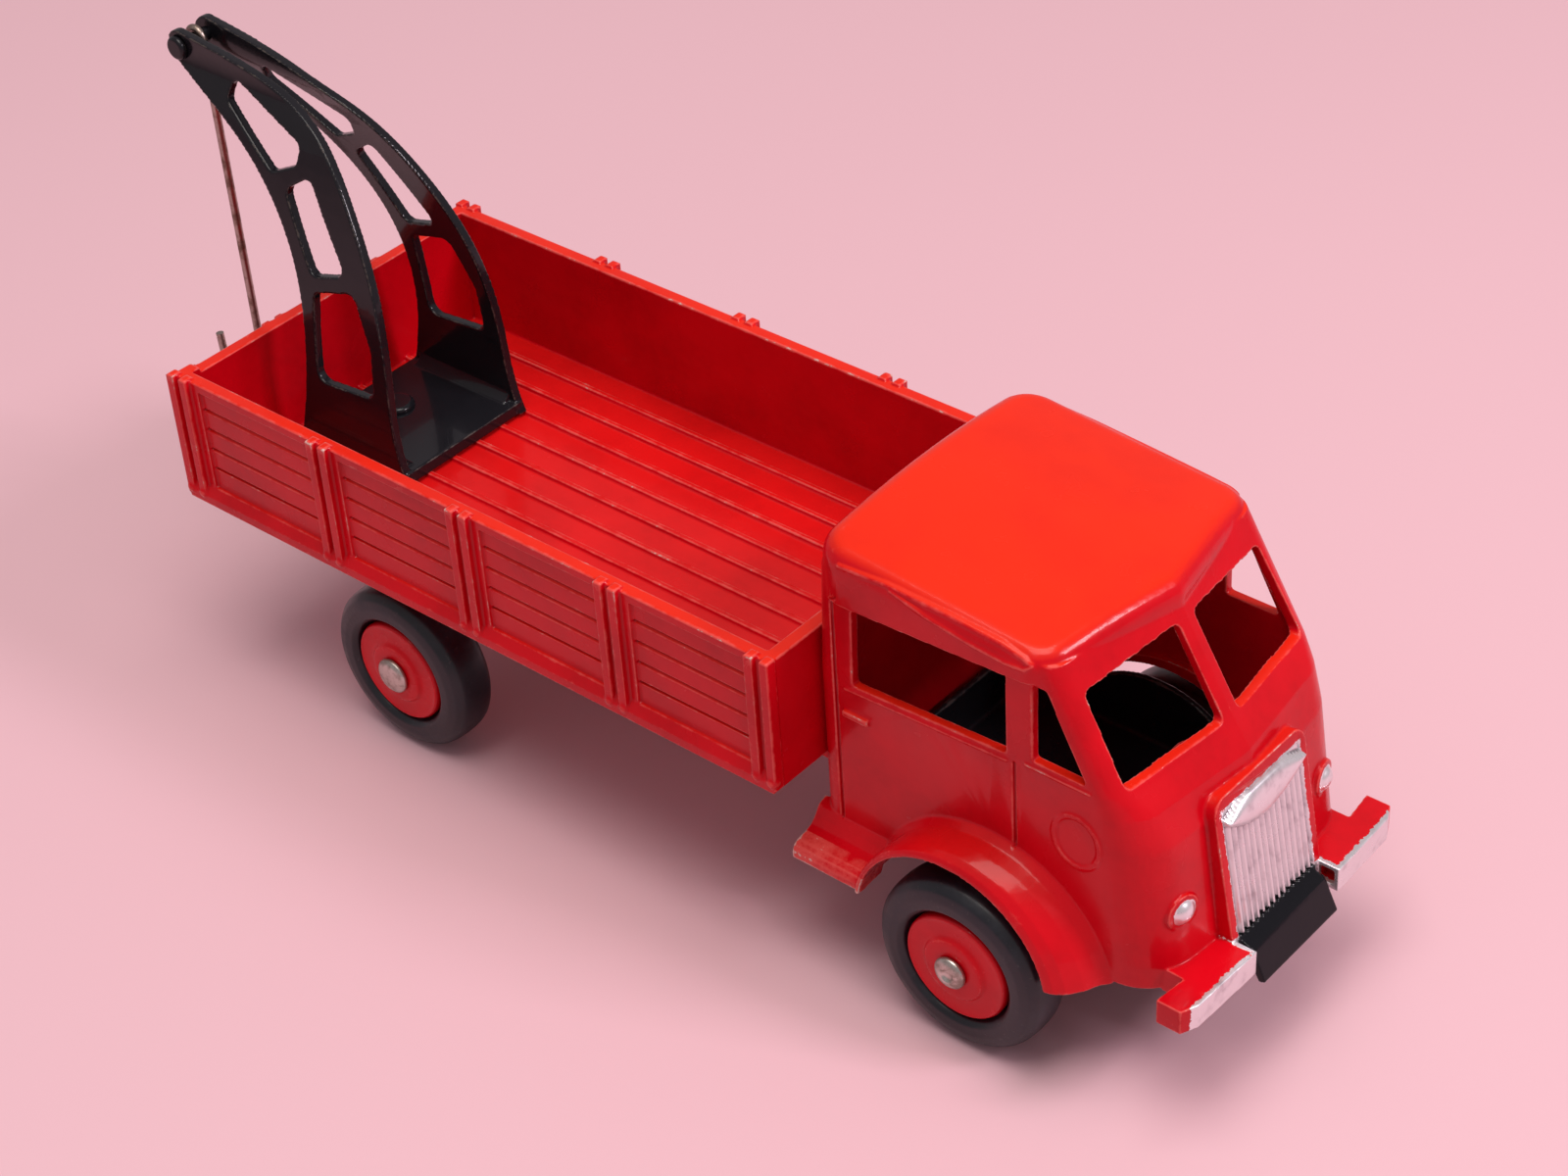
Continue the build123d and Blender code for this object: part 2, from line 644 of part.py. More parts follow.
def make_crane():
    """Foot plate with two webs that lean together and meet at the jib pin."""
    side_face = Plane(origin=(0, -12, 0), x_dir=(1, 0, 0), z_dir=(0, -1, 0)) * web_outline()
    silhouette = extrude(side_face, amount=24, dir=(0, 1, 0))
    web = web_bend() & silhouette
    web -= web_windows()
    webs = both_sides(web)
    foot = block(3.6, 17.6, -WEB_FOOT_Y + 0.3, WEB_FOOT_Y - 0.3,
                 FLOOR_TOP + FLOOR_RIDGE_HEIGHT, CRANE_BASE_TOP)
    crane = webs + foot + both_sides(foot_cove())
    crane -= rod_across(*JIB_PIN, JIB_PIN_RADIUS + FIXED_CLEARANCE, -6, 6)
    crane -= upright(CRANE_RIVET_X, 0, CRANE_RIVET_HOLE, 15, 25)
    return crane


def make_jib_pin():
    """Pin through both web tips, headed at each end."""
    pin = rod_across(*JIB_PIN, JIB_PIN_RADIUS, -2.5, 2.5)
    head = rod_across(*JIB_PIN, 1.15, -2.75, -2.2)
    head = fillet(head.edges().sort_by(Axis.Y)[0], 0.35)
    return pin + both_sides(head)


def make_hook():
    """Stiff wire hanging from the jib pin and turned up into a hook."""
    x, z = JIB_PIN
    eye = rod_across(x, z, 1.35, -0.4, 0.4)
    path = (
        Line((x, 0, z - 1.0), (x + 1.2, 0, 19.0))
        + ThreePointArc((x + 1.2, 0, 19.0), (x - 1.9, 0, 15.6), (x - 5.0, 0, 18.4))
        + Line((x - 5.0, 0, 18.4), (x - 5.1, 0, 20.3))
    )
    start = Plane(origin=(x, 0, z - 1.0), z_dir=(1.2, 0, 20.0 - z))
    wire = sweep(start * Circle(0.42), path=path)
    hook = eye + wire
    hook -= rod_across(x, z, JIB_PIN_RADIUS + RUNNING_CLEARANCE, -2, 2)
    return hook


# ---------------------------------------------------------------- running gear

def make_axle(x, head_radius, dimple):
    """Steel axle with a head at each end outside the hubs."""
    axle = rod_across(x, AXLE_Z, AXLE_RADIUS, -HUB_FACE - 0.3, HUB_FACE + 0.3)
    head = rod_across(x, AXLE_Z, head_radius, -HUB_FACE - 0.85, -HUB_FACE - 0.1)
    head = fillet(head.edges().sort_by(Axis.Y)[0], 0.45)
    if dimple:
        head -= rod_across(x, AXLE_Z, 0.7, -HUB_FACE - 1.0, -HUB_FACE - 0.6)
    return axle + both_sides(head)


def make_hub(x, side):
    """Turned hub: outer flange with a raised ring, tyre seat and inner flange."""
    bore = AXLE_RADIUS + RUNNING_CLEARANCE
    profile = [
        (13.6, bore), (HUB_FACE, bore), (HUB_FACE, 2.9),
        (HUB_FACE - 0.4, 3.2), (HUB_FACE - 0.4, HUB_RADIUS - 0.25),
        (HUB_FACE - 0.65, HUB_RADIUS), (16.8, HUB_RADIUS), (16.8, HUB_SEAT),
        (14.5, HUB_SEAT), (14.5, HUB_RADIUS), (14.0, HUB_RADIUS), (14.0, 2.4), (13.6, 2.4),
    ]
    return ring_profile(profile, x, AXLE_Z, side)


def make_tyre(x, side):
    """Plain rubber tyre sitting in the channel of the hub."""
    seat = HUB_SEAT + FIXED_CLEARANCE
    flange = HUB_RADIUS + 0.04
    middle = (TYRE_OUTER + TYRE_INNER) / 2
    half = (TYRE_OUTER - TYRE_INNER) / 2
    outside = [(0.82, flange), (0.96, 5.6), (1.0, 6.3), (0.94, 7.1), (0.74, 7.8), (0.46, 8.15)]
    profile = [(14.54, seat), (16.76, seat), (16.76, flange)]
    profile += [(middle + half * out, radius) for out, radius in outside]
    profile += [(middle, TYRE_RADIUS)]
    profile += [(middle - half * out, radius) for out, radius in reversed(outside)]
    profile += [(14.54, flange)]
    return ring_profile(profile, x, AXLE_Z, side)


# ---------------------------------------------------------------- export

def save(name, shape):
    """Move a finished piece to the shared frame and write it."""
    export_step(Pos(-LENGTH_MIDDLE, 0, 0) * shape, f"parts/{name}.step")
    return shape


pieces = {
    "cab_casting": make_cab(),
    "bed_casting": make_bed(),
    "base_plate": make_base_plate(),
    "base_plate_rivets": make_plate_rivets(),
    "crane_frame": make_crane(),
    "crane_rivet": make_crane_rivet(),
    "jib_pin": make_jib_pin(),
    "tow_hook": make_hook(),
    "rear_axle": make_axle(REAR_AXLE_X, 1.75, False),
    "front_axle": make_axle(FRONT_AXLE_X, 1.5, True),
}
for axle_name, axle_x in (("rear", REAR_AXLE_X), ("front", FRONT_AXLE_X)):
    for side_name, side in (("right", -1), ("left", 1)):
        pieces[f"{axle_name}_{side_name}_hub"] = make_hub(axle_x, side)
        pieces[f"{axle_name}_{side_name}_tyre"] = make_tyre(axle_x, side)
for piece_name, piece in pieces.items():
    save(piece_name, piece)
    box = piece.bounding_box()
    solids = len(piece.solids())
    print(piece_name, solids, "solids", round(piece.volume, 1), "mm3", box.min, box.max)
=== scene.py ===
import math

import bmesh
import bpy
import numpy as np
from mathutils import Matrix, Vector


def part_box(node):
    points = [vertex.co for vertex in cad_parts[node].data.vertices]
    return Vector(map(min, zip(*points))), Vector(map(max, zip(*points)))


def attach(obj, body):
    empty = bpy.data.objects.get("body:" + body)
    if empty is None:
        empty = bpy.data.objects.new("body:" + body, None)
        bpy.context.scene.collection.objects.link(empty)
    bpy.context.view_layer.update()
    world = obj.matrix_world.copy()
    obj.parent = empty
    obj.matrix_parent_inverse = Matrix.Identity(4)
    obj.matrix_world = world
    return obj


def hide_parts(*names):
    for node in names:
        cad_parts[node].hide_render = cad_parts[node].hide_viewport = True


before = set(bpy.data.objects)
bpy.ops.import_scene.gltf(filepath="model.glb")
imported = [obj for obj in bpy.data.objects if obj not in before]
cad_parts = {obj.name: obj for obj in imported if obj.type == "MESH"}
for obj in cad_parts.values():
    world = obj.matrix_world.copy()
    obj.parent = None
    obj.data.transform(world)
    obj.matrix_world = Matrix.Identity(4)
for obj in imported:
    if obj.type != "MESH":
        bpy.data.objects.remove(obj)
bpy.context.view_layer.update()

# Die-cast toy tow truck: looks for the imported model, all lengths in metres.
MM = 0.001

# The bed's rear face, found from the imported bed: distances along the truck are measured from it
TAIL_RIB = 0.45 * MM
BED_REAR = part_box("bed_casting")[0].x + TAIL_RIB

# Camera
VIEW_AZIMUTH = math.radians(42.75)
VIEW_ELEVATION = math.radians(36.96)
VIEW_ROLL = math.radians(-4.01)
VIEW_DISTANCE = 0.2882
VIEW_TARGET = Vector((0.00415, 0.00677, 0.01436))
VIEW_LENS = 73.1

# Paint colours, linear
RED = (0.60, 0.001, 0.008, 1)
RED_DEEP = (0.32, 0.0005, 0.004, 1)
# Painted highlight: orange-red for up-facing red surfaces, standing in for light falling on their tops
RED_LIT_TOP = (0.74, 0.022, 0.004, 1)
RED_RUBBED = (0.74, 0.10, 0.085, 1)
PRIMER = (0.66, 0.38, 0.34, 1)
SILVER = (0.80, 0.77, 0.79, 1)
SILVER_DULL = (0.50, 0.45, 0.48, 1)
# Painted shade: dark tone for the hollows between the grille ribs
SILVER_CORNER_SHADE = (0.12, 0.07, 0.09, 1)
BLACK = (0.005, 0.005, 0.007, 1)
# Painted sheen: lighter black laid on in soft clouds
BLACK_SHEEN = (0.013, 0.012, 0.015, 1)
BLACK_RUBBED = (0.09, 0.07, 0.06, 1)

# Steel, rubber and floor colours, linear
STEEL_BRIGHT = (0.62, 0.58, 0.53, 1)
STEEL_BRIGHT_STAIN = (0.30, 0.25, 0.21, 1)
STEEL_BROWN = (0.42, 0.35, 0.31, 1)
STEEL_BROWN_STAIN = (0.20, 0.13, 0.10, 1)
RUBBER = (0.004, 0.005, 0.009, 1)
RUBBER_BLOOM = (0.012, 0.014, 0.021, 1)
RUBBER_SCUFF = (0.10, 0.09, 0.085, 1)
FLOOR_SHADE = (0.70, 0.42, 0.47, 1)
FLOOR_PALE = (0.74, 0.46, 0.51, 1)

# Sizes of the patterns in the enamel, and the depths of its relief
CLOUD_SIZE = 9 * MM
MOTTLE_SIZE = 0.9 * MM
WEAR_SIZE = 1.5 * MM
GLOSS_SIZE = 4 * MM
WAVE_SIZE = 5 * MM
WAVE_DEPTH = 0.05 * MM
PEEL_SIZE = 0.8 * MM
RED_PEEL_DEPTH = 0.012 * MM
BLACK_PEEL_DEPTH = 0.005 * MM
CHIP_DEPTH = 0.03 * MM
LAYER_DEPTH = 0.02 * MM
# Heights over which the painted light on up-facing red surfaces comes in
TOP_LIGHT_FROM = 10 * MM
TOP_LIGHT_FULL = 40 * MM

# The same for the silver, the black enamel, the steel and the rubber
SILVER_CLOUD_SIZE = 1.6 * MM
SILVER_GRAIN_SIZE = 0.35 * MM
STRAY_BLACK_SIZE = 0.7 * MM
STRAY_STROKE_SIZE = 0.5 * MM
BLACK_WEAR_SIZE = 1.2 * MM
# Size of the clouds of painted sheen on the black
BLACK_SHEEN_SIZE = 6 * MM
BLACK_GLOSS_SIZE = 3 * MM
STAIN_SIZE = 1.6 * MM
SCRATCH_SIZE = 0.35 * MM
BLOOM_SIZE = 3.5 * MM
SCUFF_SIZE = 0.7 * MM
RUBBER_SKIN_SIZE = 0.45 * MM
GRAIN_DEPTH = 0.012 * MM
SCUFF_DEPTH = 0.01 * MM

# Painted areas of the cab: along from the bed's rear face, out from the middle, up from the floor
PAINT_EDGE = 0.03 * MM
BRUSH_SIZE = 0.9 * MM
BRUSH_WANDER = 0.9 * MM
TREAD_INNER = 15.3 * MM
TREAD_TOP = 12.4 * MM
TREAD_FRONT = 80 * MM
SILVER_GRILLE_OUT = 5.5 * MM
SILVER_GRILLE_TOP = 24.9 * MM
SILVER_GRILLE_FOOT = 12.0 * MM
SILVER_GRILLE_DEPTH = 0.4 * MM
BUMPER_FRONT = 110.0 * MM
BUMPER_RAKE = 0.03
BUMPER_SILVER_DEPTH = 0.42 * MM
BUMPER_SILVER_OUT = 14.3 * MM
BUMPER_SILVER_TOP = 13.05 * MM
BUMPER_END_OUT = 6.35 * MM
BUMPER_END_REAR = 105.6 * MM
LAMP_MIDDLE = (106.0 * MM, 10.0 * MM, 17.7 * MM)
LAMP_RADIUS = 1.25 * MM
PLATE_BAR_OUT = 5.5 * MM
PLATE_BAR_TOP = 12.85 * MM
PLATE_BAR_REAR = 105.9 * MM
STRAY_BLACK_TOP = 13.05 * MM
STRAY_BLACK_WANDER = 1.1 * MM

# Raised beads and fine grooves on the cab sides, as (along, up) in millimetres from the bed's rear face
CAB_SIDE = 13.6 * MM
CAB_SIDE_CURVE = 1.2 * MM
DRIP_BEAD = ((75.4, 40.3), (80.0, 40.35), (86.0, 40.0), (91.0, 39.6), (93.2, 39.25),
             (93.9, 38.9), (93.4, 38.5), (91.6, 38.4), (88.5, 38.65), (84.0, 39.3), (80.5, 40.1))
SILL_BEAD = ((75.2, 27.8), (91.3, 28.45))
QUARTER_BEAD = ((93.2, 28.95), (99.2, 28.95))
REAR_SHUT_LINE = ((74.1, 13.6), (74.1, 36.4), (74.9, 37.0))
FRONT_SHUT_LINE = ((92.0, 20.2), (92.0, 28.4))

# The same lines with their half width and height; a groove's height is negative
CAB_LINES = (
    (DRIP_BEAD, 0.34 * MM, 0.16 * MM),
    (SILL_BEAD, 0.30 * MM, 0.14 * MM),
    (QUARTER_BEAD, 0.30 * MM, 0.14 * MM),
    (REAR_SHUT_LINE, 0.20 * MM, -0.14 * MM),
    (FRONT_SHUT_LINE, 0.20 * MM, -0.14 * MM),
)

# Radiator grille: its leaning plane, its field and what stands on it
GRILLE_FOOT = Vector((BED_REAR + 107.35 * MM, 0, 12.7 * MM))
GRILLE_OUT = Vector((0.985, 0, 0.165)).normalized()
GRILLE_UP = Vector((-0.165, 0, 0.985)).normalized()
GRILLE_HALF_WIDTH = 5.35 * MM
GRILLE_HEIGHT = 12.2 * MM
GRILLE_START = 0.02 * GRILLE_HEIGHT - 0.25 * MM
GRILLE_BACK = 0.25 * MM
GRILLE_SUNK = 0.1 * MM
GRILLE_MARGIN = 0.05 * MM
SURROUND_BAND = 0.9 * MM
SURROUND_HEIGHT = 0.45 * MM
RIB_PITCH = 0.73 * MM
RIB_COUNT = 14
RIB_BASE = 0.12 * MM
RIB_HEIGHT = 0.40 * MM
CRESCENT_LOW = 8.8 * MM
CRESCENT_LOW_RISE = 2.1 * MM
CRESCENT_HIGH = 12.5 * MM
CRESCENT_HIGH_DROP = 1.2 * MM
CRESCENT_BASE = 0.30 * MM
CRESCENT_DOME = 0.80 * MM

# Tyre section from its inner edge to its tread, as shares of half its width and of its radius
TYRE_HALF_SECTION = ((0.30, 0.555), (0.44, 0.605), (0.62, 0.635), (0.97, 0.66), (1.0, 0.75),
                     (0.97, 0.86), (0.80, 0.955), (0.45, 1.0))
TYRE_EASE = 0.35 * MM

# Hub section: radii, then depths from the outer face, then depths from the back
HUB_BORE = 0.85 * MM
HUB_BOSS = 2.85 * MM
HUB_BOSS_FOOT = 3.15 * MM
HUB_DRUM = 4.55 * MM
HUB_BACK_BOSS = 2.4 * MM
HUB_LIP_FOOT = 0.45 * MM
HUB_LIP_TOP = 0.25 * MM
HUB_DISH_DEPTH = 0.42 * MM
HUB_LIP_DEPTH = 0.28 * MM
HUB_EDGE_DEPTH = 0.65 * MM
HUB_FLANGE_DEPTH = 1.5 * MM
HUB_BACK_FLANGE = 0.9 * MM
HUB_BACK_RECESS = 0.4 * MM
HUB_EASE = 0.11 * MM

# Axle ends, as millimetres in from the tip and shares of the head's radius
AXLE_PLAIN_MIDDLE = ((0.0, 0.0),)
AXLE_DIMPLED_MIDDLE = ((0.38, 0.0), (0.34, 0.28))
AXLE_DOME = ((0.02, 0.45), (0.16, 0.78), (0.42, 1.0))
AXLE_HEAD_DEPTH = 0.80 * MM
AXLE_RADIUS = 0.80 * MM
AXLE_EASE = 0.08 * MM
REAR_AXLE_HEAD = 1.75 * MM
FRONT_AXLE_HEAD = 1.5 * MM

# Tow hook in the side view: the pin it hangs on, and the bend at its lower end
JIB_PIN = Vector((BED_REAR - 12.2 * MM, 54.3 * MM))
EYE_RADIUS = 0.98 * MM
WIRE_RADIUS = 0.40 * MM
HOOK_MIDDLE = Vector((BED_REAR - 14.1 * MM, 18.75 * MM))
HOOK_RADIUS = 3.1 * MM
HOOK_TIP_FLARE = 0.1 * MM
HOOK_TIP_UP = 20.2 * MM

# Lights and floor
LIGHT_TARGET = Vector((0, 0, 0.02))
SURROUND_COLOUR = (1.0, 0.90, 0.94, 1)
SURROUND_STRENGTH = 0.40
FLOOR_SIZE = 6
FLOOR_MOTTLE_SIZE = 0.25

# Mesh fineness
CAB_VOXEL = 0.11 * MM
BED_VOXEL = 0.12 * MM
CRANE_VOXEL = 0.11 * MM
PLATE_VOXEL = 0.16 * MM
RIVET_VOXEL = 0.06 * MM
PIN_VOXEL = 0.05 * MM
PLATE_RIVET_VOXEL = 0.08 * MM
MAX_TRIANGLES = 195000
PLATE_TRIANGLES = 60000
GRILLE_COLUMNS = 210
GRILLE_ROWS = 90
LATHE_SEGMENTS = 56

# Point normals that count as facing sideways, and the bend that counts as a full edge
SIDE_FACING = 0.25
FULL_EDGE_BEND = 0.16


# ---------------------------------------------------------------- mesh helpers

def add_object(name, data):
    """New object in the scene, at the origin."""
    made = bpy.data.objects.new(name, data)
    bpy.context.scene.collection.objects.link(made)
    return made


def settle(piece):
    """Apply every modifier of a piece."""
    graph = bpy.context.evaluated_depsgraph_get()
    finished = bpy.data.meshes.new_from_object(piece.evaluated_get(graph))
    piece.modifiers.clear()
    piece.data = finished
    return piece


def points_of(mesh):
    """Places of a mesh's points as rows."""
    flat = np.zeros(len(mesh.vertices) * 3, np.float32)
    mesh.vertices.foreach_get("co", flat)
    return flat.reshape(-1, 3)


def normals_of(mesh):
    """Point normals of a mesh as rows."""
    flat = np.zeros(len(mesh.vertices) * 3, np.float32)
    mesh.vertex_normals.foreach_get("vector", flat)
    return flat.reshape(-1, 3)


def move_points(mesh, places):
    """Put a mesh's points at new places."""
    mesh.vertices.foreach_set("co", places.astype(np.float32).ravel())
    mesh.update()


def distance_to_path(along, up, path):
    """Distance of each point from a path in the side view, path points in millimetres."""
    nearest = np.full(len(along), 1.0)
    route = [(BED_REAR + x * MM, z * MM) for x, z in path]
    for (x0, z0), (x1, z1) in zip(route[:-1], route[1:]):
        run = np.array((x1 - x0, z1 - z0))
        share = ((along - x0) * run[0] + (up - z0) * run[1]) / (run @ run)
        share = np.clip(share, 0, 1)
        gap = np.hypot(along - x0 - share * run[0], up - z0 - share * run[1])
        nearest = np.minimum(nearest, gap)
    return nearest


def emboss_sides(mesh, path, half_width, height):
    """Raise a bead, or sink a groove where height is negative, along both cab sides."""
    places = points_of(mesh)
    normals = normals_of(mesh)
    outer = (np.abs(places[:, 1]) > CAB_SIDE - CAB_SIDE_CURVE) & (normals[:, 1] * places[:, 1] > 0)
    outer &= np.abs(normals[:, 1]) > SIDE_FACING
    gap = distance_to_path(places[:, 0], places[:, 2], path)
    share = np.clip(1 - gap / half_width, 0, 1)
    rise = height * share * share * (3 - 2 * share) * outer
    places += normals * rise[:, None]
    move_points(mesh, places)


def flatten_grille(mesh):
    """Plane down the casting behind the separate grille relief."""
    places = points_of(mesh)
    from_foot = places - np.array(GRILLE_FOOT)
    height = from_foot @ np.array(GRILLE_OUT)
    up = from_foot @ np.array(GRILLE_UP)
    level = np.where(up > GRILLE_HEIGHT - GRILLE_MARGIN, SURROUND_HEIGHT, -GRILLE_SUNK)
    field = np.abs(places[:, 1]) < GRILLE_HALF_WIDTH - GRILLE_MARGIN
    field &= (up > 0.0) & (up < GRILLE_HEIGHT + SURROUND_BAND) & (height > level)
    places -= np.outer((height - level) * field, np.array(GRILLE_OUT))
    move_points(mesh, places)


def mark_edges(mesh, rounds=2):
    """Attribute 'edge': about 1 on a worn outer edge, 0 on a flat, -1 in a corner."""
    places = points_of(mesh)
    normals = normals_of(mesh)
    ends = np.zeros(len(mesh.edges) * 2, np.int32)
    mesh.edges.foreach_get("vertices", ends)
    first, second = ends.reshape(-1, 2).T
    run = places[second] - places[first]
    run /= np.maximum(np.linalg.norm(run, axis=1), 1e-9)[:, None]
    count = len(places)
    total = np.bincount(first, -(run * normals[first]).sum(1), count)
    total += np.bincount(second, (run * normals[second]).sum(1), count)
    links = np.bincount(first, minlength=count) + np.bincount(second, minlength=count)
    bend = total / np.maximum(links, 1)
    for _ in range(rounds):
        spread = np.bincount(first, bend[second], count) + np.bincount(second, bend[first], count)
        bend = (bend + spread / np.maximum(links, 1)) / 2
    edge = mesh.attributes.new("edge", "FLOAT", "POINT")
    edge.data.foreach_set("value", np.clip(bend / FULL_EDGE_BEND, -1, 1).astype(np.float32))


def softened(name, node, voxel, rounds):
    """Copy of a CAD node with the rounded edges and filled corners of a painted casting."""
    piece = add_object(name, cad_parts[node].data.copy())
    piece.data.materials.clear()
    even = piece.modifiers.new("even", "REMESH")
    even.mode = "VOXEL"
    even.voxel_size = voxel
    even.use_smooth_shade = True
    rounding = piece.modifiers.new("rounding", "SMOOTH")
    rounding.factor = 0.5
    rounding.iterations = rounds
    return settle(piece)


def thin(piece, triangles=MAX_TRIANGLES):
    """Take faces away where the surface is flat, down to that many triangles."""
    have = sum(len(face.vertices) - 2 for face in piece.data.polygons)
    if have > triangles:
        fewer = piece.modifiers.new("fewer", "DECIMATE")
        fewer.ratio = triangles / have
        settle(piece)


def eased(points, ease, closed):
    """Profile with each corner replaced by two points, which subdivision rounds off."""
    corners = [Vector(p) for p in points]
    count = len(corners)
    made = []
    for index, corner in enumerate(corners):
        if not closed and index in (0, count - 1):
            made.append(corner)
            continue
        for other in (corners[index - 1], corners[(index + 1) % count]):
            run = other - corner
            made.append(corner + run.normalized() * min(ease, run.length * 0.4))
    return made


def mirrored(half):
    """Half a profile followed by its mirror image."""
    return list(half) + [(-out, radius) for out, radius in reversed(half)]


def lathe(name, profile, centre, side, closed):
    """Smooth turned piece about an axle; profile is (distance out, radius)."""
    shape = bmesh.new()
    rings = []
    for step in range(LATHE_SEGMENTS):
        angle = 2 * math.pi * step / LATHE_SEGMENTS
        rings.append([
            shape.verts.new((
                centre.x + radius * math.sin(angle),
                side * out,
                centre.z + radius * math.cos(angle),
            ))
            for out, radius in profile
        ])
    last = len(profile) if closed else len(profile) - 1
    for step, ring in enumerate(rings):
        following = rings[(step + 1) % LATHE_SEGMENTS]
        for index in range(last):
            after = (index + 1) % len(profile)
            shape.faces.new((ring[index], ring[after], following[after], following[index]))
    bmesh.ops.remove_doubles(shape, verts=shape.verts, dist=1e-7)
    bmesh.ops.recalc_face_normals(shape, faces=shape.faces)
    mesh = bpy.data.meshes.new(name)
    shape.to_mesh(mesh)
    shape.free()
    piece = add_object(name, mesh)
    finer = piece.modifiers.new("finer", "SUBSURF")
    finer.levels = 2
    finer.render_levels = 2
    settle(piece)
    piece.data.shade_smooth()
    return piece


def finish_piece(piece, body, slot, material, *nodes):
    """Give a piece its paint and its body, and hide the CAD nodes that it stands for."""
    piece.data.materials.clear()
    piece.data.materials.append(material)
    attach(piece, body)
    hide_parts(*nodes)


# ---------------------------------------------------------------- material helpers

class Finish:
    """A node material being built, with places on the object in metres."""

    def __init__(self, name):
        self.material = bpy.data.materials.new(name)
        self.material.use_nodes = True
        self.tree = self.material.node_tree
        self.shader = self.tree.nodes["Principled BSDF"]
        self.place = self.node("ShaderNodeTexCoord").outputs["Object"]
        apart = self.node("ShaderNodeSeparateXYZ", {"Vector": self.place})
        self.x, self.y, self.z = apart.outputs

    def feed(self, socket, value):
        """Link a socket into an input, or set the input to a fixed value."""
        if isinstance(value, bpy.types.NodeSocket):
            self.tree.links.new(value, socket)
        else:
            socket.default_value = value

    def node(self, kind, inputs=None, **settings):
        """New node with its settings and inputs."""
        made = self.tree.nodes.new(kind)
        for key, value in settings.items():
            setattr(made, key, value)
        for key, value in (inputs or {}).items():
            self.feed(made.inputs[key], value)
        return made

    def arithmetic(self, operation, *values):
        """One step of arithmetic on numbers."""
        made = self.node("ShaderNodeMath", operation=operation)
        for index, value in enumerate(values):
            self.feed(made.inputs[index], value)
        return made.outputs[0]

    def add(self, first, second):
        """First plus second."""
        return self.arithmetic("ADD", first, second)

    def minus(self, first, second):
        """First minus second."""
        return self.arithmetic("SUBTRACT", first, second)

    def times(self, first, second):
        """First times second."""
        return self.arithmetic("MULTIPLY", first, second)

    def greater(self, first, second):
        """The greater of the two."""
        return self.arithmetic("MAXIMUM", first, second)

    def vector(self, operation, first, second):
        """One step of arithmetic on vectors, with its outputs."""
        return self.node("ShaderNodeVectorMath", {0: first, 1: second}, operation=operation).outputs

    def step(self, value, low, high):
        """0 below low, 1 above high and smooth between; low may be above high."""
        made = self.node("ShaderNodeMapRange", interpolation_type="SMOOTHSTEP")
        self.feed(made.inputs["Value"], value)
        self.feed(made.inputs["From Min"], low)
        self.feed(made.inputs["From Max"], high)
        return made.outputs["Result"]

    def noise(self, size, detail=3, roughness=0.55, stretch=(1, 1, 1)):
        """Cloudy value from 0 to 1 with patches of about that size."""
        made = self.node("ShaderNodeTexNoise", {
            "Vector": self.vector("MULTIPLY", self.place, stretch)["Vector"], "Scale": 1 / size,
            "Detail": detail, "Roughness": roughness,
        })
        return made.outputs["Fac"]

    def mix(self, share, first, second):
        """Colour part of the way from first to second."""
        made = self.node("ShaderNodeMix", data_type="RGBA")
        self.feed(made.inputs["Factor"], share)
        self.feed(made.inputs[6], first)
        self.feed(made.inputs[7], second)
        return made.outputs[2]

    def blend(self, share, first, second):
        """Number part of the way from first to second."""
        made = self.node("ShaderNodeMix", data_type="FLOAT")
        self.feed(made.inputs["Factor"], share)
        self.feed(made.inputs[2], first)
        self.feed(made.inputs[3], second)
        return made.outputs[0]

    def edge(self):
        """The edge value stored on the mesh, for worn edges and for painted shade in corners."""
        return self.node("ShaderNodeAttribute", attribute_name="edge").outputs["Fac"]

    def bump(self, height, distance, under=None):
        """Small relief; height 1 stands that distance above height 0."""
        made = self.node("ShaderNodeBump", {"Height": height, "Strength": 1.0, "Distance": distance})
        if under is not None:
            self.feed(made.inputs["Normal"], under)
        return made.outputs["Normal"]

    def apply(self, **sockets):
        """Set the shader's inputs by name, with _ for a space."""
        for key, value in sockets.items():
            self.feed(self.shader.inputs[key.replace("_", " ")], value)
        return self.material


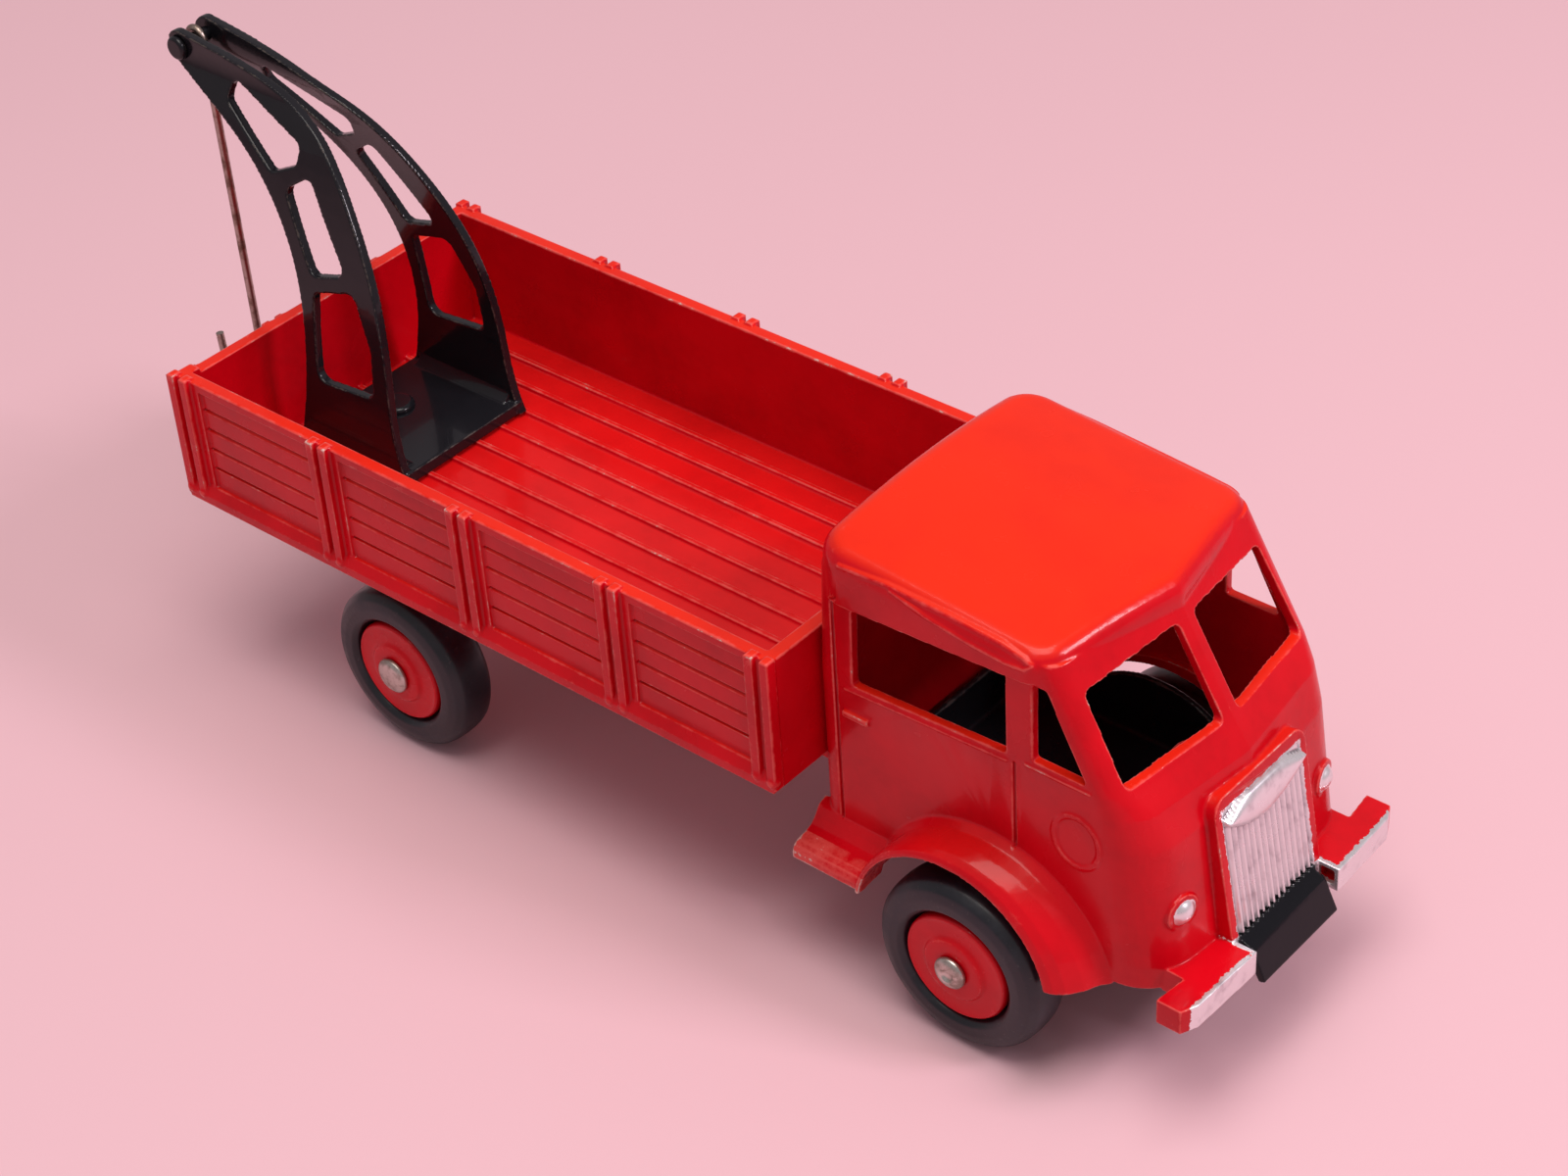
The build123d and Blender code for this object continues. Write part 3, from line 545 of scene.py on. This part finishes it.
def painted_red(finish, worn=None):
    """Colour, roughness and wear of the red enamel, with painted light on up-facing tops and painted shade
    in corners: (colour, roughness, wear).
    """
    cloud = finish.step(finish.noise(CLOUD_SIZE, detail=4), 0.35, 0.68)
    fine = finish.step(finish.noise(MOTTLE_SIZE, detail=2), 0.3, 0.7)
    colour = finish.mix(finish.blend(fine, finish.times(cloud, 0.7), cloud), RED, RED_DEEP)
    colour = finish.mix(0.45, RED, colour)
    # Painted highlight: up-facing surfaces high on the truck turn orange-red, as if lit from above
    upward = finish.node("ShaderNodeSeparateXYZ", {
        "Vector": finish.node("ShaderNodeNewGeometry").outputs["Normal"],
    }).outputs["Z"]
    lit_top = finish.times(finish.step(upward, 0.55, 0.98), finish.step(finish.z, TOP_LIGHT_FROM, TOP_LIGHT_FULL))
    colour = finish.mix(finish.times(lit_top, finish.blend(cloud, 1.0, 0.8)), colour, RED_LIT_TOP)
    edge = finish.edge()
    patch = finish.noise(WEAR_SIZE, detail=5, roughness=0.7)
    if worn is not None:
        edge = finish.add(edge, worn)
    rubbed = finish.step(finish.add(edge, finish.times(patch, 1.6)), 1.08, 1.66)
    chipped = finish.step(finish.add(edge, finish.times(patch, 2.6)), 2.36, 2.42)
    # Painted shade: corners and grooves darken towards the deep red, in uneven patches
    corner_shade = finish.step(finish.minus(finish.times(patch, 0.5), edge), 0.45, 1.15)
    colour = finish.mix(finish.times(corner_shade, 0.55), colour, RED_DEEP)
    colour = finish.mix(finish.times(rubbed, 0.7), colour, RED_RUBBED)
    colour = finish.mix(chipped, colour, PRIMER)
    roughness = finish.blend(finish.noise(GLOSS_SIZE, detail=3), 0.16, 0.34)
    roughness = finish.blend(rubbed, roughness, 0.45)
    return colour, roughness, chipped


def enamel_relief(finish, chipped, peel_depth=RED_PEEL_DEPTH):
    """Slight waves and orange peel of thick enamel, cut away where it has chipped."""
    waves = finish.bump(finish.noise(WAVE_SIZE, detail=1), WAVE_DEPTH)
    skin = finish.bump(finish.noise(PEEL_SIZE, detail=2), peel_depth, under=waves)
    return finish.bump(finish.minus(1.0, chipped), CHIP_DEPTH, under=skin)


def red_casting(name):
    """Glossy red enamel of the bed and the hubs."""
    finish = Finish(name)
    colour, roughness, chipped = painted_red(finish)
    return finish.apply(
        Base_Color=colour, Roughness=roughness, Normal=enamel_relief(finish, chipped),
        Specular_IOR_Level=0.15, Coat_Weight=0.15, Coat_Roughness=0.08,
    )


def inside(finish, ragged, *limits):
    """1 where every limit is under zero, with an edge made uneven by ragged."""
    worst = limits[0]
    for limit in limits[1:]:
        worst = finish.greater(worst, limit)
    return finish.step(finish.add(worst, ragged), PAINT_EDGE, -PAINT_EDGE)


def silver_paint(finish):
    """Colour and roughness of brushed-on silver paint."""
    cloud = finish.noise(SILVER_CLOUD_SIZE, detail=3)
    colour = finish.mix(finish.step(cloud, 0.50, 0.85), SILVER, SILVER_DULL)
    return colour, finish.blend(cloud, 0.20, 0.40)


def grille_paint():
    """Silver grille with painted shade between its ribs, and the bar's black paint straying over its foot.
    """
    finish = Finish("grille_silver")
    wander = finish.minus(finish.noise(STRAY_BLACK_SIZE, detail=4, roughness=0.75), 0.5)
    strokes = finish.minus(finish.noise(STRAY_STROKE_SIZE, stretch=(1, 1, 0.25)), 0.5)
    ragged = finish.times(finish.add(wander, strokes), STRAY_BLACK_WANDER)
    black = inside(finish, ragged, finish.minus(finish.z, STRAY_BLACK_TOP))
    colour, roughness = silver_paint(finish)
    # Painted shade: the hollows between the grille ribs darken
    corner_shade = finish.step(finish.edge(), -0.1, -0.9)
    colour = finish.mix(finish.times(corner_shade, 0.75), colour, SILVER_CORNER_SHADE)
    return finish.apply(
        Base_Color=finish.mix(black, colour, BLACK),
        Roughness=finish.blend(black, roughness, 0.12),
        Metallic=finish.blend(black, 0.8, 0.0),
        Normal=finish.bump(finish.noise(SILVER_GRAIN_SIZE, detail=2), GRAIN_DEPTH),
    )


def silver_areas(finish, side, ahead, ragged):
    """1 on the silver grille, bumper and headlamps."""
    from_foot = finish.vector("SUBTRACT", finish.place, GRILLE_FOOT)["Vector"]
    height = finish.vector("DOT_PRODUCT", from_foot, GRILLE_OUT)["Value"]
    silver = inside(
        finish, ragged,
        finish.minus(side, SILVER_GRILLE_OUT),
        finish.minus(finish.z, SILVER_GRILLE_TOP),
        finish.minus(SILVER_GRILLE_FOOT, finish.z),
        finish.minus(-SILVER_GRILLE_DEPTH, height),
    )
    bumper_front = finish.arithmetic("MULTIPLY_ADD", side, -BUMPER_RAKE, BUMPER_FRONT)
    low = finish.minus(finish.z, BUMPER_SILVER_TOP)
    bumper_face = inside(
        finish, ragged, low,
        finish.minus(finish.minus(bumper_front, BUMPER_SILVER_DEPTH), ahead),
        finish.minus(side, BUMPER_SILVER_OUT),
    )
    bumper_end = inside(
        finish, ragged, low,
        finish.minus(side, BUMPER_END_OUT),
        finish.minus(BUMPER_END_REAR, ahead),
    )
    place = finish.node("ShaderNodeCombineXYZ", {"X": ahead, "Y": side, "Z": finish.z}).outputs[0]
    from_lamp = finish.vector("DISTANCE", place, LAMP_MIDDLE)["Value"]
    lens = inside(finish, finish.times(ragged, 0.4), finish.minus(from_lamp, LAMP_RADIUS))
    for area in (bumper_face, bumper_end, lens):
        silver = finish.greater(silver, area)
    return silver


def cab_paint():
    """Red enamel with silver grille, lamps and bumper, and a black plate bar."""
    finish = Finish("cab_enamel")
    side = finish.arithmetic("ABSOLUTE", finish.y)
    ahead = finish.minus(finish.x, BED_REAR)
    tread = inside(
        finish, 0.0,
        finish.minus(TREAD_INNER, side),
        finish.minus(finish.z, TREAD_TOP),
        finish.minus(ahead, TREAD_FRONT),
    )
    colour, roughness, chipped = painted_red(finish, finish.times(tread, 0.55))
    wander = finish.minus(finish.noise(BRUSH_SIZE, detail=4, roughness=0.75), 0.5)
    ragged = finish.times(wander, BRUSH_WANDER)
    silver = silver_areas(finish, side, ahead, ragged)
    black = inside(
        finish, ragged,
        finish.minus(side, PLATE_BAR_OUT),
        finish.minus(finish.z, PLATE_BAR_TOP),
        finish.minus(PLATE_BAR_REAR, ahead),
    )
    silver_colour, silver_roughness = silver_paint(finish)
    colour = finish.mix(silver, colour, silver_colour)
    colour = finish.mix(black, colour, BLACK)
    silver_only = finish.times(silver, finish.minus(1.0, black))
    roughness = finish.blend(silver, roughness, silver_roughness)
    roughness = finish.blend(black, roughness, 0.10)
    relief = enamel_relief(finish, chipped)
    layers = finish.bump(finish.greater(silver, black), LAYER_DEPTH, under=relief)
    return finish.apply(
        Base_Color=colour, Roughness=roughness, Normal=layers,
        Metallic=finish.times(silver_only, 0.8),
        Specular_IOR_Level=0.15, Coat_Weight=0.15, Coat_Roughness=0.08,
    )


def black_gloss(name, base_roughness):
    """Glossy black enamel with a painted sheen in soft clouds, rubbed brown along its edges."""
    finish = Finish(name)
    edge = finish.edge()
    patch = finish.noise(BLACK_WEAR_SIZE, detail=5, roughness=0.7)
    rubbed = finish.step(finish.add(edge, finish.times(patch, 2.0)), 1.60, 1.95)
    # Painted sheen: the black lightens in soft random clouds
    cloud = finish.noise(BLACK_SHEEN_SIZE)
    colour = finish.mix(cloud, BLACK, BLACK_SHEEN)
    colour = finish.mix(finish.times(rubbed, 0.7), colour, BLACK_RUBBED)
    roughness = finish.blend(finish.noise(BLACK_GLOSS_SIZE), base_roughness, base_roughness + 0.14)
    return finish.apply(
        Base_Color=colour, Roughness=finish.blend(rubbed, roughness, 0.5),
        Normal=enamel_relief(finish, rubbed, BLACK_PEEL_DEPTH), Specular_IOR_Level=0.15,
        Coat_Weight=0.25, Coat_Roughness=0.05,
    )


def steel(name, light, dark):
    """Dull plated steel with brown stains and fine scratches."""
    finish = Finish(name)
    stain = finish.step(finish.noise(STAIN_SIZE, detail=5, roughness=0.7), 0.42, 0.66)
    scratch = finish.noise(SCRATCH_SIZE, detail=4, stretch=(1, 1, 0.15))
    colour = finish.mix(stain, light, dark)
    colour = finish.mix(finish.times(scratch, 0.4), colour, dark)
    return finish.apply(
        Base_Color=colour, Metallic=1.0,
        Roughness=finish.blend(stain, finish.blend(scratch, 0.22, 0.38), 0.55),
        Normal=finish.bump(scratch, GRAIN_DEPTH),
    )


def rubber():
    """Old black rubber: smooth, greyed and dusty, with small scuffs."""
    finish = Finish("tyre_rubber")
    bloom = finish.step(finish.noise(BLOOM_SIZE, detail=5, roughness=0.65), 0.42, 0.74)
    scuff = finish.step(finish.noise(SCUFF_SIZE, detail=4, roughness=0.8), 0.60, 0.72)
    colour = finish.mix(bloom, RUBBER, RUBBER_BLOOM)
    colour = finish.mix(finish.times(scuff, 0.3), colour, RUBBER_SCUFF)
    skin = finish.bump(finish.noise(RUBBER_SKIN_SIZE, detail=3), GRAIN_DEPTH)
    return finish.apply(
        Base_Color=colour, Roughness=finish.blend(bloom, 0.34, 0.52),
        Normal=finish.bump(scuff, SCUFF_DEPTH, under=skin),
    )


# ---------------------------------------------------------------- pieces

def make_cab():
    """Cab casting with the beads and shut lines of its sides."""
    cab = softened("cab_skin", "cab_casting", CAB_VOXEL, 4)
    flatten_grille(cab.data)
    for path, half_width, height in CAB_LINES:
        emboss_sides(cab.data, path, half_width, height)
    mark_edges(cab.data)
    thin(cab)
    finish_piece(cab, "truck", "red_enamel", cab_paint(), "cab_casting")


def grille_height(across, up):
    """Relief of the grille above its plane: rounded ribs below a domed crescent."""
    share = across / GRILLE_HALF_WIDTH
    low = CRESCENT_LOW + CRESCENT_LOW_RISE * share * share
    high = CRESCENT_HIGH - CRESCENT_HIGH_DROP * share * share
    if up > low:
        rise = min(1.0, (up - low) / (high - low))
        return CRESCENT_BASE + CRESCENT_DOME * math.sqrt(max(0.0, 1 - (2 * rise - 1) ** 2))
    rib = across / RIB_PITCH + RIB_COUNT / 2
    if not 0 <= rib < RIB_COUNT:
        return RIB_BASE
    off_middle = abs(rib - math.floor(rib) - 0.5) * 2
    fall = min(1.0, max(0.0, (off_middle - 0.15) / 0.75))
    return RIB_BASE + RIB_HEIGHT * (1 - fall * fall * (3 - 2 * fall))


def border_of(columns, rows):
    """Numbers of the points round the rim of a grid, in order."""
    width = columns + 1
    border = list(range(columns))
    border += [columns + row * width for row in range(rows)]
    border += [rows * width + columns - column for column in range(columns)]
    border += [(rows - row) * width for row in range(rows)]
    return border


def make_grille():
    """Grille relief as a thin closed slab in front of the nose."""
    shape = bmesh.new()
    front = []
    back = []
    for row in range(GRILLE_ROWS + 1):
        up = GRILLE_START + row / GRILLE_ROWS * GRILLE_HEIGHT
        for column in range(GRILLE_COLUMNS + 1):
            across = (2 * column / GRILLE_COLUMNS - 1) * GRILLE_HALF_WIDTH
            place = GRILLE_FOOT + GRILLE_UP * up + Vector((0, across, 0))
            front.append(shape.verts.new(place + GRILLE_OUT * grille_height(across, up)))
            back.append(shape.verts.new(place - GRILLE_OUT * GRILLE_BACK))
    width = GRILLE_COLUMNS + 1
    for row in range(GRILLE_ROWS):
        for column in range(GRILLE_COLUMNS):
            corner = row * width + column
            ring = (corner, corner + 1, corner + width + 1, corner + width)
            shape.faces.new([front[point] for point in ring])
            shape.faces.new([back[point] for point in reversed(ring)])
    border = border_of(GRILLE_COLUMNS, GRILLE_ROWS)
    for here, after in zip(border, border[1:] + border[:1]):
        shape.faces.new((front[after], front[here], back[here], back[after]))
    bmesh.ops.recalc_face_normals(shape, faces=shape.faces)
    mesh = bpy.data.meshes.new("grille_relief")
    shape.to_mesh(mesh)
    shape.free()
    grille = add_object("grille_relief", mesh)
    grille.data.shade_smooth()
    rounding = grille.modifiers.new("rounding", "SMOOTH")
    rounding.iterations = 2
    settle(grille)
    mark_edges(grille.data)
    grille.data.materials.append(grille_paint())
    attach(grille, "truck")


def make_bed():
    """Load bed casting."""
    bed = softened("bed_skin", "bed_casting", BED_VOXEL, 1)
    mark_edges(bed.data)
    thin(bed)
    finish_piece(bed, "truck", "red_enamel", red_casting("bed_enamel"), "bed_casting")


def make_crane():
    """Crane webs and foot."""
    crane = softened("crane_skin", "crane_frame", CRANE_VOXEL, 5)
    mark_edges(crane.data)
    thin(crane)
    finish_piece(crane, "truck", "black_enamel", black_gloss("crane_enamel", 0.12), "crane_frame")


def make_plate():
    """Tinplate floor."""
    plate = softened("plate_skin", "base_plate", PLATE_VOXEL, 1)
    mark_edges(plate.data)
    thin(plate, PLATE_TRIANGLES)
    finish_piece(plate, "truck", "black_tinplate", black_gloss("tinplate_black", 0.22), "base_plate")


def make_tyre(node, side, material):
    """Plain rounded tyre."""
    low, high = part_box(node)
    centre = (low + high) / 2
    half = (high.y - low.y) / 2
    radius = (high.z - low.z) / 2
    middle = abs(centre.y)
    profile = [(middle + out * half, share * radius) for out, share in mirrored(TYRE_HALF_SECTION)]
    tyre = lathe(node + "_rubber", eased(profile, TYRE_EASE, True), centre, side, True)
    finish_piece(tyre, node.replace("_tyre", "_wheel"), "tyre_rubber", material, node)


def make_hub(node, side, material):
    """Turned hub with a raised middle, seen inside the tyre."""
    low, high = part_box(node)
    centre = (low + high) / 2
    face = max(abs(low.y), abs(high.y))
    back = min(abs(low.y), abs(high.y))
    radius = (high.z - low.z) / 2
    profile = [
        (back, HUB_BORE),
        (face, HUB_BORE),
        (face, HUB_BOSS),
        (face - HUB_DISH_DEPTH, HUB_BOSS_FOOT),
        (face - HUB_DISH_DEPTH, radius - HUB_LIP_FOOT),
        (face - HUB_LIP_DEPTH, radius - HUB_LIP_TOP),
        (face - HUB_EDGE_DEPTH, radius),
        (face - HUB_FLANGE_DEPTH, radius),
        (face - HUB_FLANGE_DEPTH, HUB_DRUM),
        (back + HUB_BACK_FLANGE, HUB_DRUM),
        (back + HUB_BACK_FLANGE, radius),
        (back + HUB_BACK_RECESS, radius),
        (back + HUB_BACK_RECESS, HUB_BACK_BOSS),
        (back, HUB_BACK_BOSS),
    ]
    hub = lathe(node + "_turned", eased(profile, HUB_EASE, True), centre, side, True)
    mark_edges(hub.data)
    finish_piece(hub, node.replace("_hub", "_wheel"), "hub_enamel", material, node)


def make_axle(node, head_radius, middle, material):
    """Axle with a formed head at each end, plain or dimpled in the middle."""
    low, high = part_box(node)
    centre = (low + high) / 2
    tip = high.y
    seat = tip - AXLE_HEAD_DEPTH
    half = [(tip - depth * MM, share * head_radius) for depth, share in middle + AXLE_DOME]
    half += [(seat, head_radius), (seat, AXLE_RADIUS)]
    axle = lathe(node + "_turned", eased(mirrored(half), AXLE_EASE, False), centre, 1, False)
    finish_piece(axle, "truck", "dull_steel", material, node)


def arc(centre, radius, start, turn, count):
    """Points round an arc in the side view, with the start and the turn between points in degrees."""
    angles = [math.radians(start + turn * step) for step in range(count)]
    return [(centre.x + radius * math.cos(angle), centre.y + radius * math.sin(angle)) for angle in angles]


def make_hook(material):
    """One wire: an eye round the jib pin, a straight shank and a round hook."""
    route = arc(JIB_PIN, EYE_RADIUS, -65, -13.5, 25)
    route += arc(HOOK_MIDDLE, HOOK_RADIUS, 0, -10, 19)
    route.append((HOOK_MIDDLE.x - HOOK_RADIUS - HOOK_TIP_FLARE, HOOK_TIP_UP))
    curve = bpy.data.curves.new("hook_wire", "CURVE")
    curve.dimensions = "3D"
    curve.bevel_depth = WIRE_RADIUS
    curve.bevel_resolution = 5
    curve.use_fill_caps = True
    spline = curve.splines.new("POLY")
    spline.points.add(len(route) - 1)
    for point, (x, z) in zip(spline.points, route):
        point.co = (x, 0, z, 1)
    spline.use_smooth = True
    wire = add_object("hook_wire", curve)
    graph = bpy.context.evaluated_depsgraph_get()
    mesh = bpy.data.meshes.new_from_object(wire.evaluated_get(graph))
    bpy.data.objects.remove(wire)
    hook = add_object("hook_wire", mesh)
    finish_piece(hook, "hook", "dull_steel", material, "tow_hook")


def make_small(node, voxel, slot, material):
    """A rivet, a pair of rivets or a pin, softened."""
    piece = softened(node + "_formed", node, voxel, 2)
    mark_edges(piece.data)
    finish_piece(piece, "truck", slot, material, node)


# ---------------------------------------------------------------- setting

def make_camera():
    """Camera above the truck, ahead of it and to its right."""
    back = Vector((
        math.sin(VIEW_AZIMUTH) * math.cos(VIEW_ELEVATION),
        -math.cos(VIEW_AZIMUTH) * math.cos(VIEW_ELEVATION),
        math.sin(VIEW_ELEVATION),
    ))
    right = Vector((math.cos(VIEW_AZIMUTH), math.sin(VIEW_AZIMUTH), 0))
    up = back.cross(right)
    across = right * math.cos(VIEW_ROLL) + up * math.sin(VIEW_ROLL)
    upward = up * math.cos(VIEW_ROLL) - right * math.sin(VIEW_ROLL)
    camera = add_object("camera", bpy.data.cameras.new("camera"))
    camera.data.lens = VIEW_LENS
    camera.data.clip_start = 0.01
    camera.data.clip_end = 20
    turn = Matrix((across, upward, back)).transposed().to_4x4()
    turn.translation = VIEW_TARGET + back * VIEW_DISTANCE
    camera.matrix_world = turn
    bpy.context.scene.camera = camera


def make_floor():
    """Plain pale floor."""
    bpy.ops.mesh.primitive_plane_add(size=FLOOR_SIZE)
    floor = bpy.context.object
    floor.name = "floor"
    finish = Finish("floor_pale")
    mottle = finish.noise(FLOOR_MOTTLE_SIZE, detail=2)
    floor.data.materials.append(finish.apply(
        Base_Color=finish.mix(mottle, FLOOR_SHADE, FLOOR_PALE),
        Roughness=0.6,
    ))


def area_light(name, place, size, power, colour):
    """Soft square light aimed at the middle of the truck."""
    lamp = bpy.data.lights.new(name, "AREA")
    lamp.size = size
    lamp.energy = power
    lamp.color = colour
    holder = add_object(name, lamp)
    holder.location = place
    aim = LIGHT_TARGET - Vector(place)
    holder.rotation_euler = aim.to_track_quat("-Z", "Y").to_euler()


def make_light():
    """Large overhead light, a small window-like light ahead of the nose and a pale surround."""
    area_light("overhead", place=(0.06, -0.06, 0.62), size=0.40, power=2.8, colour=(1.0, 0.96, 0.91))
    area_light("window", place=(0.46, 0.16, 0.40), size=0.13, power=1.6, colour=(1.0, 0.88, 0.97))
    world = bpy.data.worlds.new("studio")
    world.use_nodes = True
    background = world.node_tree.nodes["Background"]
    background.inputs["Color"].default_value = SURROUND_COLOUR
    background.inputs["Strength"].default_value = SURROUND_STRENGTH
    bpy.context.scene.world = world
    bpy.context.scene.view_settings.view_transform = "Standard"


make_camera()
make_floor()
make_light()
make_cab()
make_bed()
make_crane()
make_plate()
make_grille()
black_rivet = black_gloss("rivet_black", 0.2)
bright_steel = steel("steel_bright", STEEL_BRIGHT, STEEL_BRIGHT_STAIN)
brown_steel = steel("steel_brown", STEEL_BROWN, STEEL_BROWN_STAIN)
make_small("crane_rivet", RIVET_VOXEL, "black_enamel", black_rivet)
make_small("jib_pin", PIN_VOXEL, "black_enamel", black_rivet)
make_hook(brown_steel)
make_small("base_plate_rivets", PLATE_RIVET_VOXEL, "dull_steel", bright_steel)
make_axle("rear_axle", REAR_AXLE_HEAD, AXLE_PLAIN_MIDDLE, bright_steel)
make_axle("front_axle", FRONT_AXLE_HEAD, AXLE_DIMPLED_MIDDLE, bright_steel)
tyre_material = rubber()
hub_material = red_casting("hub_enamel")
for corner in ("front_right", "front_left", "rear_right", "rear_left"):
    outward = -1 if corner.endswith("right") else 1
    make_hub(corner + "_hub", outward, hub_material)
    make_tyre(corner + "_tyre", outward, tyre_material)
